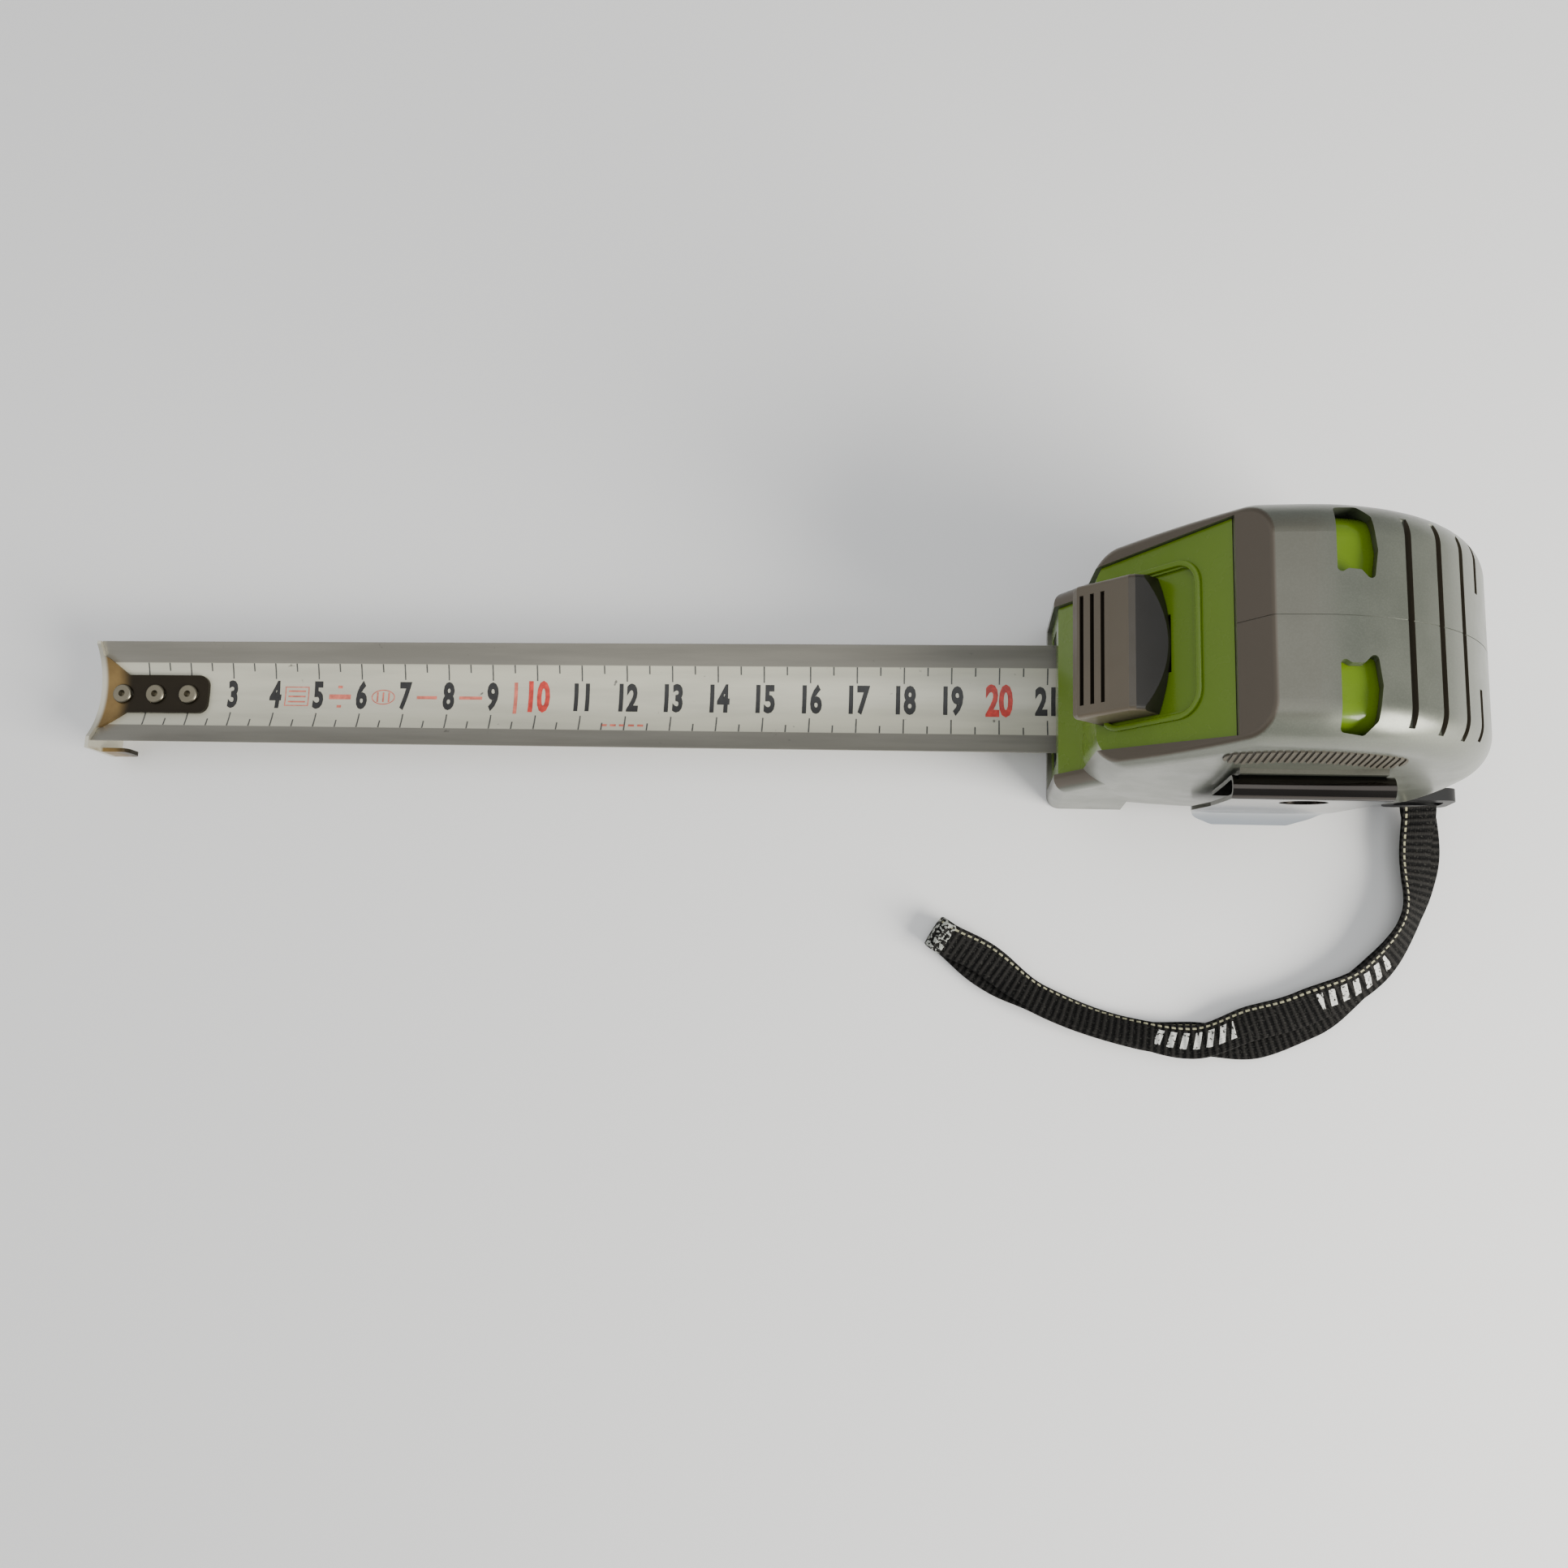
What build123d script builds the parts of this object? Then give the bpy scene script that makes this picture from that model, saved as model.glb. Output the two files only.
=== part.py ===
"""A spring-return pocket tape measure, standing on its base with the blade drawn out and locked.

Millimetres. +Z is up and the blade leaves the case towards -X. The origin is on the base face, midway
between the sides, and -Y is the side with the belt clip. "Left" is the clip side.
"""

import os
from math import cos, pi, radians, sin, tan

from build123d import *

# ---------------------------------------------------------------- driving dimensions
CASE_BACK = 36.5  # furthest x of the case
CASE_FRONT = -39.5  # x of the nose's front face
CASE_TOP = 72.0
HALF_WIDTH = 22.5  # at the fattest place of the case
SIDE_RADIUS = 320.0  # the sides are shallow domes of this radius
DOME_HEIGHT = 37.0  # z of the middle of each dome
EDGE_RADIUS = 7.0  # the round between the rim and the sides
BACK_RADIUS = 37.5  # the round of the top and the back
COVER_WALL = 2.2
CORE_GAP = 0.1  # between the core and the cover over it
CORE_WALL = 2.2
NOSE_HALF_WIDTH = 20.8
NOSE_EDGE = 2.6
NOSE_LIP_HEIGHT = 20.5
NOSE_ROOF = (-30.0, 33.0)  # x and z that the nose's sloping roof aims at, inside the body
SLOPE_ANGLE = 47.0  # of the front that the lock slides on, from the horizontal
SLOPE_FOOT = (-34.5, 43.7)  # where the slope meets the steep front wall, in x and z
SLOPE_FULLNESS = 3.0  # what is planed off the body along the slope, which leaves the crease at its top
SLOPE_EDGE = 1.2
BODY_FRONT = -36.5  # x of the front wall's foot, inside the nose
RECESS_END = -13.0  # x where the core dips under the covers at the top of the slope

BLADE_WIDTH = 25.0
BLADE_THICKNESS = 0.2
BLADE_CUP_RADIUS = 17.6
BLADE_Z = 9.0  # underside of the blade along its middle
DRAWN_OUT = 210.5  # free blade between the nose and the hook
BLADE_INNER_END = 0.0  # x of the straight run's end inside the case

REEL_X = 7.0
REEL_Z = 36.0
COIL_RADIUS = 21.0  # 4.8 m of blade wound on the drum
DRUM_RADIUS = 14.0
DRUM_WALL = 1.3
FLANGE_RADIUS = 21.8
POST_RADIUS = 4.0
RUNNING = 0.05  # radial clearance of a running fit

CLIP_SCREW_RADIUS = 1.95
NUT_SEAT_Y = -17.4
POST_SCREW_Y = 18.6
BADGE_RADIUS = 13.9

LOCK_TRAVEL = 5.0
LOCK_HALF_WIDTH = 12.5
LOCK_LENGTH = 16.6
LOCK_START = 0.2  # distance up the slope from its foot to the button's lower edge
LOCK_FLOOR = 1.6  # how deep the floor of the lock's track lies under the case's own surface
STEM_START = 5.2  # from the button's lower edge to its stem
STEM_LENGTH = 6.0
STEM_WIDTH = 10.0
BRAKE_FRONT = -31.2  # x of both ends of the brake pad
BRAKE_BACK = -27.4

HOOK_THICKNESS = 0.9
HOOK_GAP = 0.05
HOOK_PLAY = 1.0
RIVETS_FROM_END = (4.4, 12.2, 20.0)

CLIP_THICKNESS = 0.8
CLIP_GAP = 2.6
CLIP_SEAT_Y = -22.9
CLIP_X = 2.4
CLIP_SCREW_Z = 45.0
CLIP_TOP = 52.5
CLIP_END = 11.5

SCREW_PLACES = ((-23.0, 5.0), (25.0, 5.0), (21.5, 58.0))  # x and z
SCREW_RADIUS = 1.4
SCREW_HEAD_RADIUS = 2.7
SCREW_HEAD_Y = 12.6  # where the screws' heads sit, under the right side

GRIP_RADIUS = 27.0  # of the grips' curved middle line, about the axis of the back's round
GRIP_HEIGHT = 6.4

STRAP_TUBE = 5.5  # diameter of the round section that stands for the folded webbing
STRAP_ROUTE = (
    (35.0, -19.9, 5.2),
    (35.8, -30.0, 3.5),
    (33.6, -43.5, 2.9),
    (25.0, -55.2, 2.8),
    (9.8, -64.4, 2.8),
    (-9.2, -69.4, 2.8),
    (-27.0, -67.0, 2.8),
    (-43.6, -60.6, 2.8),
    (-55.4, -52.4, 2.8),
    (-65.4, -46.2, 2.8),
)

SLOPE_UP = Vector(cos(radians(SLOPE_ANGLE)), 0, sin(radians(SLOPE_ANGLE)))
SLOPE_OUT = Vector(-sin(radians(SLOPE_ANGLE)), 0, cos(radians(SLOPE_ANGLE)))
BLADE_HALF_ANGLE = BLADE_WIDTH / 2 / BLADE_CUP_RADIUS  # of the cupped section, in radians
CUP_CENTRE_Z = BLADE_Z + BLADE_CUP_RADIUS  # axis of the blade's cylindrical cup
HOOK_X = CASE_FRONT - DRAWN_OUT


# ---------------------------------------------------------------- small helpers
def box(x0, x1, y0, y1, z0, z1):
    """A box between two corners."""
    return Pos((x0 + x1) / 2, (y0 + y1) / 2, (z0 + z1) / 2) * Box(x1 - x0, y1 - y0, z1 - z0)


def side_prism(points, y0, y1):
    """An outline in x and z, pulled along y."""
    face = Plane.XZ * make_face(Polyline(*points, close=True))
    return Pos(0, y1, 0) * extrude(face, amount=y1 - y0)


def plan_prism(points, z0, z1):
    """An outline in x and y, pulled along z."""
    return Pos(0, 0, z0) * extrude(make_face(Polyline(*points, close=True)), amount=z1 - z0)


def rod_y(x, z, radius, y0, y1):
    """A round bar along y."""
    return Pos(x, (y0 + y1) / 2, z) * Rot(90, 0, 0) * Cylinder(radius, y1 - y0)


def on_slope(solid, up=0.0, out=0.0):
    """Puts a solid on the front slope: its x runs along -y, its y up the slope and its z out of it."""
    start = Vector(SLOPE_FOOT[0], 0, SLOPE_FOOT[1]) + SLOPE_UP * up + SLOPE_OUT * out
    return Plane(origin=start, x_dir=(0, -1, 0), z_dir=SLOPE_OUT) * solid


def left_half(solid):
    return solid & box(-300, 100, -80, 0, -10, 100)


def right_half(solid):
    return solid & box(-300, 100, 0, 80, -10, 100)


# ---------------------------------------------------------------- the case's outer form
def body_outline():
    """The case's rim seen from the side, without the nose, and with the slope left full."""
    steepness = tan(radians(SLOPE_ANGLE))
    full_x = SLOPE_FOOT[0] - SLOPE_FULLNESS / sin(radians(SLOPE_ANGLE))
    corner_x = full_x + (CASE_TOP - SLOPE_FOOT[1]) / steepness
    lean = (SLOPE_FOOT[0] - BODY_FRONT) / SLOPE_FOOT[1]
    knee_z = (SLOPE_FOOT[1] + (BODY_FRONT - full_x) * steepness) / (1 - lean * steepness)
    knee = (BODY_FRONT + lean * knee_z, knee_z)
    corners = ((BODY_FRONT, 0), (CASE_BACK, 0), (CASE_BACK, CASE_TOP), (corner_x, CASE_TOP), knee)
    radii = [8.0, 11.0, BACK_RADIUS, 8.0, 8.0]
    return Plane.XZ * make_face(FilletPolyline(*corners, radius=radii, close=True))


def main_body(inset):
    """The rounded body, shrunk by inset on every side and planed off along the slope."""
    rim = extrude(offset(body_outline(), amount=-inset) if inset else body_outline(), amount=40, both=True)
    dome = Sphere(SIDE_RADIUS - inset)
    shift = SIDE_RADIUS - HALF_WIDTH
    solid = rim & (Pos(0, shift, DOME_HEIGHT) * dome) & (Pos(0, -shift, DOME_HEIGHT) * dome)
    side_edges = solid.faces().filter_by(GeomType.SPHERE).edges()
    solid = fillet(side_edges, EDGE_RADIUS - inset)
    solid -= on_slope(Pos(0, 0, 50) * Box(200, 300, 100), out=-inset)
    if inset > 0.5:
        return solid
    slope = solid.faces().filter_by(lambda f: (f.normal_at() - SLOPE_OUT).length < 0.001)
    return fillet(slope.edges(), SLOPE_EDGE - inset)


def nose(inset):
    """The block that holds the mouth, shrunk by inset on its outer sides."""
    outline = (
        (CASE_FRONT + inset, inset),
        (CASE_FRONT + inset, NOSE_LIP_HEIGHT - 0.8 * inset),
        (NOSE_ROOF[0], NOSE_ROOF[1] - 1.1 * inset),
        (-24.0, NOSE_ROOF[1] - 1.1 * inset),
        (-24.0, inset),
    )
    half = NOSE_HALF_WIDTH - inset
    block = side_prism(outline, -half, half)
    edges = block.edges().filter_by(lambda e: e.center().X < NOSE_ROOF[0] - 2)
    return fillet(edges.filter_by(lambda e: abs(e.center().Y) > half - 0.01), max(NOSE_EDGE - inset, 0.3))


def case_form(inset):
    return main_body(inset) + nose(inset)


# ---------------------------------------------------------------- openings in the covers
def front_opening(clear):
    """The gap between the two covers that the core shows through, smaller by clear all round."""
    near, far = 17.4 - clear, 19.2 - clear
    end = RECESS_END - clear
    plan = ((-45, -near), (-34, -near), (end, -far), (end, far), (-34, near), (-45, near))
    return plan_prism(plan, 3.0 + clear, 80)


def top_windows():
    """Two windows behind the crease, each wider at its outer end."""
    inner = ((2.2, 6.8), (4.0, 8.0), (6.2, 7.9), (8.3, 5.6))
    plan = inner + ((9.1, 11.5), (8.3, 17.4), (6.2, 19.6), (2.2, 19.2))
    window = plan_prism(plan, 60, 80)
    window = fillet(window.edges().filter_by(Axis.Z), 0.75)
    return window + mirror(window, about=Plane.XZ)


def back_grooves():
    """Radial grooves over the back: three across, and one that stops short of the middle."""
    centre = Vector(CASE_BACK - BACK_RADIUS, 0, CASE_TOP - BACK_RADIUS)
    grooves = []
    for angle, inner, outer in ((24.5, 0, 18), (35, 0, 18.5), (45, 0, 18.5), (54, 8.5, 17.5)):
        blade = box(-0.65, 0.65, -outer, outer, BACK_RADIUS - 1.5, BACK_RADIUS + 9)
        blade = fillet(blade.edges().filter_by(Axis.X), 0.6) if inner == 0 else blade
        if inner:
            blade -= box(-2, 2, -inner, inner, 0, BACK_RADIUS + 10)
        grooves.append(Pos(centre.X, 0, centre.Z) * Rot(0, angle, 0) * blade)
    return grooves


def grip_region(clear):
    """The curved slot of each side's grip, seen from the side and cut through the whole width."""
    spine = CenterArc((CASE_BACK - BACK_RADIUS, CASE_TOP - BACK_RADIUS), GRIP_RADIUS, 58, 54)
    slot = SlotArc(spine, GRIP_HEIGHT - 2 * clear)
    return extrude(Plane.XZ * slot, amount=40, both=True)


def seam_groove():
    return box(-40, 40, -0.07, 0.07, 14, 80)


def screw_holes():
    """Clearance holes for the three case screws, with counterbores from the right."""
    holes = [rod_y(x, z, SCREW_RADIUS + 0.05, -14, 30) for x, z in SCREW_PLACES]
    heads = [rod_y(x, z, SCREW_HEAD_RADIUS + 0.1, SCREW_HEAD_Y, 30) for x, z in SCREW_PLACES]
    return holes + heads


# ---------------------------------------------------------------- covers, cores, grips
def covers(forms):
    """The two outer shells, with everything that is let into them cut out."""
    outer, inner = forms["cover_outer"], forms["cover_inner"]
    shell = outer - inner - front_opening(0) - top_windows()
    for groove in back_grooves():
        shell -= groove
    shell -= (outer - forms["seam_floor"]) & seam_groove()
    left = left_half(shell) + (box(CLIP_X - 12.5, CLIP_X + 12.5, CLIP_SEAT_Y, -19.0, 33.0, 53.0) - inner)
    left -= rod_y(CLIP_X, CLIP_SCREW_Z, CLIP_SCREW_RADIUS + 0.05, -30, -10)
    left -= lug_block()
    right = right_half(shell) + (screw_towers() & outer)
    for hole in screw_holes():
        right -= hole
    right -= rod_y(0, DOME_HEIGHT, BADGE_RADIUS + 0.1, HALF_WIDTH - 0.9, 30)
    pad_pocket = (outer - forms["grip_floor"]) & grip_region(0)
    return left - pad_pocket, right - pad_pocket


def screw_towers():
    """Solid bosses round the case screws on the right side, out to where the heads sit."""
    towers = [rod_y(x, z, 4.2, SCREW_HEAD_Y - 3.0, 22) for x, z in SCREW_PLACES]
    return towers[0] + towers[1] + towers[2]


def slope_track():
    """The flat-bottomed track the lock slides in: it runs out over the knee at its lower end."""
    length = LOCK_LENGTH + LOCK_TRAVEL + 4.4
    block = Pos(0, length / 2, 5) * Box(2 * LOCK_HALF_WIDTH + 0.8, length, 10)
    block = fillet(block.edges().filter_by(Axis.Z), 2.2)
    return on_slope(block, up=LOCK_START - 4.0, out=-LOCK_FLOOR)


def stem_slot():
    """The slot in the track's floor that the lock's stem runs in."""
    length = STEM_LENGTH + LOCK_TRAVEL + 0.8
    slot = Pos(0, length / 2, -5) * Box(STEM_WIDTH + 0.6, length, 12)
    return on_slope(slot, up=LOCK_START + STEM_START - 0.4)


def mouth():
    """The way through the nose's front wall for the blade and its bumper."""
    return box(-45, -33.5, -14.1, 14.1, 6.6, 15.2)


def cores(forms):
    """Two halves of the inner core: its outer skin shows at the front and through the windows."""
    skin = forms["core_skin"] & front_opening(0.1)
    block = forms["core_outer"] + skin
    block -= forms["core_inner"]
    block -= slope_track()
    block -= stem_slot()
    block -= mouth()
    hollow = forms["core_inner"]
    for x, z in SCREW_PLACES:
        boss = rod_y(x, z, 3.2, -20, 20) & forms["core_outer"]
        block += boss - rod_y(REEL_X, REEL_Z, FLANGE_RADIUS + 0.5, -15, 15)
    for side in (-1, 1):
        seat = rod_y(REEL_X, REEL_Z, 5.6, min(side * 14.6, side * 19.5), max(side * 14.6, side * 19.5))
        block += seat & hollow
    block += rod_y(CLIP_X, CLIP_SCREW_Z, 5.0, -19.0, NUT_SEAT_Y) & hollow
    block -= rod_y(REEL_X, REEL_Z, POST_RADIUS, -17.6, 17.6)
    block -= rod_y(REEL_X, REEL_Z, 1.3, 10, 30)
    block -= rod_y(REEL_X, REEL_Z, 2.7, POST_SCREW_Y, 30)
    for hole in screw_holes():
        block -= hole
    block -= screw_towers()
    block -= rod_y(CLIP_X, CLIP_SCREW_Z, CLIP_SCREW_RADIUS + 0.05, -30, -10)
    block -= lug_block()
    return left_half(block), right_half(block)


def grips(forms):
    """A ribbed rubber pad for each side, standing a little proud of the cover."""
    sheet = (forms["grip_top"] - forms["grip_floor"]) & grip_region(0.06)
    pitch, first = 1.15, -17.0
    cuts = [box(first + i * pitch, first + i * pitch + 0.5, -30, 30, 40, 70) for i in range(34)]
    ribs = (forms["grip_top"] - forms["cover_outer"]) & Compound(children=cuts)
    sheet -= ribs
    return left_half(sheet), right_half(sheet)


# ---------------------------------------------------------------- fixed fittings
def centre_post():
    post = rod_y(REEL_X, REEL_Z, POST_RADIUS, -17.5, 17.5)
    post -= rod_y(REEL_X, REEL_Z, 1.3, 6.0, 18.0)
    return post - box(REEL_X - 0.35, REEL_X + 0.35, -10.5, 10.5, REEL_Z, REEL_Z + 6)


def pan_screw(x, z, y_head, length, radius, head_radius, head_height, direction):
    """A cross-recessed screw along y: direction is the way that its shank points."""
    tip = y_head + direction * length
    top = y_head - direction * head_height
    shank = rod_y(x, z, radius, min(y_head, tip), max(y_head, tip))
    head = rod_y(x, z, head_radius, min(y_head, top), max(y_head, top))
    rim = head.edges().filter_by(GeomType.CIRCLE).sort_by(Axis.Y)[0 if direction > 0 else -1]
    head = fillet(rim, head_height * 0.45)
    recess = []
    for width, height in ((head_radius * 1.1, 0.55), (0.55, head_radius * 1.1)):
        recess.append(Pos(x, top, z) * Box(width, head_height, height))
    return shank + head - recess[0] - recess[1]


def case_screws():
    screws = [
        pan_screw(x, z, SCREW_HEAD_Y, 24.0, SCREW_RADIUS, SCREW_HEAD_RADIUS, 1.7, -1) for x, z in SCREW_PLACES
    ]
    return Compound(children=screws)


def clip_strip():
    """The clip's bent strip seen along x: a leaf on the case, a hairpin bend, and a leaf that flares out."""
    bend = (CLIP_GAP + CLIP_THICKNESS) / 2
    seat = CLIP_SEAT_Y - CLIP_THICKNESS / 2
    far = seat - 2 * bend
    top = CLIP_TOP - bend
    line = (
        Line((seat, 35.0), (seat, top))
        + ThreePointArc((seat, top), (seat - bend, top + bend), (far, top))
        + Line((far, top), (CLIP_SEAT_Y - 0.8, 19.0))
        + ThreePointArc((CLIP_SEAT_Y - 0.8, 19.0), (CLIP_SEAT_Y - 0.95, 15.8), (CLIP_SEAT_Y - 2.1, CLIP_END))
    )
    return Plane.YZ * line


def belt_clip():
    """A sprung steel strip that narrows downwards, leans forwards and ends in a rounded, flared tip."""
    path = clip_strip()
    band = offset(path, amount=CLIP_THICKNESS / 2, side=Side.BOTH, closed=True)
    strip = extrude(make_face(band), amount=40, both=True)
    back = ((13.7, 60), (13.7, 45), (12.4, 34), (11.4, 22), (9.0, 14.5), (4.5, CLIP_END - 0.3))
    front = ((-9.5, CLIP_END - 0.3), (-14.0, 14.5), (-15.7, 22), (-14.0, 34), (-13.7, 45), (-13.7, 60))
    frame = side_prism(back + front, -40, 0)
    frame = fillet(frame.edges().filter_by(Axis.Y).sort_by(Axis.Z)[:10], 5.0)
    clip = Pos(CLIP_X, 0, 0) * (strip & frame)
    clip -= rod_y(CLIP_X, CLIP_SCREW_Z, CLIP_SCREW_RADIUS + 0.05, -25, -20)
    return clip - rod_y(CLIP_X, CLIP_SCREW_Z, 4.2, -40, -25)


def clip_screw():
    head_y = CLIP_SEAT_Y - CLIP_THICKNESS
    return pan_screw(CLIP_X, CLIP_SCREW_Z, head_y, 7.6, CLIP_SCREW_RADIUS, 3.6, 1.6, 1)


def clip_nut():
    nut = Pos(CLIP_X, NUT_SEAT_Y + 1.1, CLIP_SCREW_Z) * Box(7.0, 2.2, 7.0)
    return nut - rod_y(CLIP_X, CLIP_SCREW_Z, CLIP_SCREW_RADIUS, -20, -10)


def side_badge():
    """A plain domed disc let into the right cover."""
    disc = rod_y(0, DOME_HEIGHT, BADGE_RADIUS, HALF_WIDTH - 0.9, HALF_WIDTH + 0.4)
    outer_rim = disc.edges().filter_by(GeomType.CIRCLE).sort_by(Axis.Y)[-1]
    return fillet(outer_rim, 0.6)


def post_screw():
    return pan_screw(REEL_X, REEL_Z, POST_SCREW_Y, 11.0, 1.25, 2.6, 1.0, -1)


def blade_guide():
    """The smooth lower lip that carries the blade through the nose."""
    block = box(-34.9, -27.5, -13.0, 13.0, 4.5, 11.2)
    return block - Pos(0, 0, CUP_CENTRE_Z) * Rot(0, 90, 0) * Cylinder(BLADE_CUP_RADIUS + 0.15, 200)


def mouth_bumper():
    """A rubber frame in the mouth that the hook lands on."""
    frame = box(-38.4, -36.9, -14.1, 14.1, 6.6, 15.2)
    opening = box(-45, -30, -12.6, 12.6, 8.2, 14.3)
    return frame - fillet(opening.edges().filter_by(Axis.X), 0.7)


def lug_block():
    """The lanyard lug before its window is cut."""
    frame = box(28.6, 41.4, -19.4, -16.8, 0.9, 9.7)
    frame = fillet(frame.edges().filter_by(Axis.Y), 2.0)
    return frame + box(28.6, 33.0, -17.0, -10.0, 3.4, 8.6)


def lanyard_lug():
    """A black eye on the rear lower corner that the wrist strap is threaded through."""
    window = box(30.4, 39.6, -25, -16.0, 3.4, 7.2)
    return lug_block() - fillet(window.edges().filter_by(Axis.Y), 0.9)


# ---------------------------------------------------------------- reel
def drum():
    ring = rod_y(REEL_X, REEL_Z, DRUM_RADIUS, -12.9, 12.7)
    ring -= rod_y(REEL_X, REEL_Z, DRUM_RADIUS - DRUM_WALL, -12.9, 12.7)
    ring -= box(REEL_X + DRUM_RADIUS - 4, REEL_X + DRUM_RADIUS + 2, -5, 5, REEL_Z - 0.7, REEL_Z + 0.7)
    flange = rod_y(REEL_X, REEL_Z, FLANGE_RADIUS, -14.1, -12.9)
    flange -= rod_y(REEL_X, REEL_Z, POST_RADIUS + RUNNING, -15, -12)
    for i in range(6):
        hole = Rot(0, 60 * i + 30, 0) * rod_y(9, 0, 2.0, -15, -12)
        flange -= Pos(REEL_X, 0, REEL_Z) * hole
    return ring + flange


def drum_cap():
    cap = rod_y(REEL_X, REEL_Z, FLANGE_RADIUS, 12.9, 14.1)
    lip = rod_y(REEL_X, REEL_Z, DRUM_RADIUS - DRUM_WALL - 0.02, 11.4, 12.9)
    lip -= rod_y(REEL_X, REEL_Z, DRUM_RADIUS - DRUM_WALL - 1.0, 11, 13)
    cap = cap + lip - rod_y(REEL_X, REEL_Z, POST_RADIUS + RUNNING, 11, 15)
    for i in range(6):
        window = Rot(0, 60 * i, 0) * rod_y(17.5, 0, 1.5, 12, 15)
        cap -= Pos(REEL_X, 0, REEL_Z) * window
    return cap


def blade_coil():
    coil = rod_y(REEL_X, REEL_Z, COIL_RADIUS, -12.5, 12.5)
    return coil - rod_y(REEL_X, REEL_Z, DRUM_RADIUS, -12.5, 12.5)


def spiral(start, pitch, half_turns, shift):
    """A flat spiral of half circles about the reel's axis: each is half a pitch larger than the last."""
    edges, place = [], Vector(start + shift, 0)
    for k in range(half_turns):
        side = 1 if k % 2 == 0 else -1
        radius = start + shift + (k + 0.5) * pitch / 2 * 0.5 + k * pitch / 4
        end = Vector(place.X - side * 2 * radius, 0)
        middle = Vector((place.X + end.X) / 2, side * radius)
        edges.append(ThreePointArc(place, middle, end))
        place = end
    return edges


def power_spring():
    """The flat spiral spring, held by the post's slot at its inner end."""
    thickness, pitch, half_turns, start = 0.4, 1.24, 12, 4.3
    inner = spiral(start, pitch, half_turns, 0)
    outer = spiral(start, pitch, half_turns, thickness)
    caps = [Line(inner[0] @ 0, outer[0] @ 0), Line(inner[-1] @ 1, outer[-1] @ 1)]
    face = make_face(inner + outer + caps)
    return Pos(REEL_X, 10.0, REEL_Z) * extrude(Plane.XZ * face, amount=20.0)


def tail_link():
    """The little steel plate through the drum's wall that ties the blade's tail to the spring."""
    outer_x = REEL_X + DRUM_RADIUS
    return box(outer_x - DRUM_WALL - 0.2, outer_x - 0.02, -4.6, 4.6, REEL_Z - 0.5, REEL_Z + 0.5)


# ---------------------------------------------------------------- blade and hook
def cup_shell(radius_outer, radius_inner, x0, x1, half_angle):
    """A strip of a tube along x, open upwards, whose lowest line is at radius_outer under the cup's axis."""
    points = []
    for radius, turn in ((radius_outer, 1), (radius_inner, -1)):
        for side in (-1, 0, 1):
            a = side * turn * half_angle
            points.append((radius * sin(a), CUP_CENTRE_Z - radius * cos(a)))
    lower, upper = ThreePointArc(*points[:3]), ThreePointArc(*points[3:])
    face = Plane.YZ * make_face([lower, Line(points[2], points[3]), upper, Line(points[5], points[0])])
    return Pos(x0, 0, 0) * extrude(face, amount=x1 - x0)


def blade():
    """The straight, cupped run from the hook to its inner end under the reel."""
    end = BLADE_INNER_END
    run = cup_shell(BLADE_CUP_RADIUS, BLADE_CUP_RADIUS - BLADE_THICKNESS, HOOK_X, end, BLADE_HALF_ANGLE)
    for from_end in RIVETS_FROM_END:
        run -= Pos(HOOK_X + from_end, 0, 5) * Cylinder(1.2, 20)
    return run


def hook_rivets():
    """Three tubular rivets, each with a rolled head over the hook and one under the blade."""
    top = BLADE_Z + BLADE_THICKNESS + HOOK_THICKNESS
    rivets = []
    for from_end in RIVETS_FROM_END:
        x = HOOK_X + from_end
        tube = Pos(x, 0, (top + BLADE_Z) / 2) * Cylinder(1.2, top - BLADE_Z + 0.8)
        head = Pos(x, 0, top + 0.55) * Cylinder(2.2, 0.6)
        head = fillet(head.edges().filter_by(GeomType.CIRCLE).sort_by(Axis.Z)[-1], 0.45)
        foot = Pos(x, 0, BLADE_Z - 0.32) * Cylinder(2.0, 0.5)
        rivets.append(tube + head + foot - Pos(x, 0, top + 0.5) * Cylinder(0.75, 1.6))
    return Compound(children=rivets)


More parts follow.
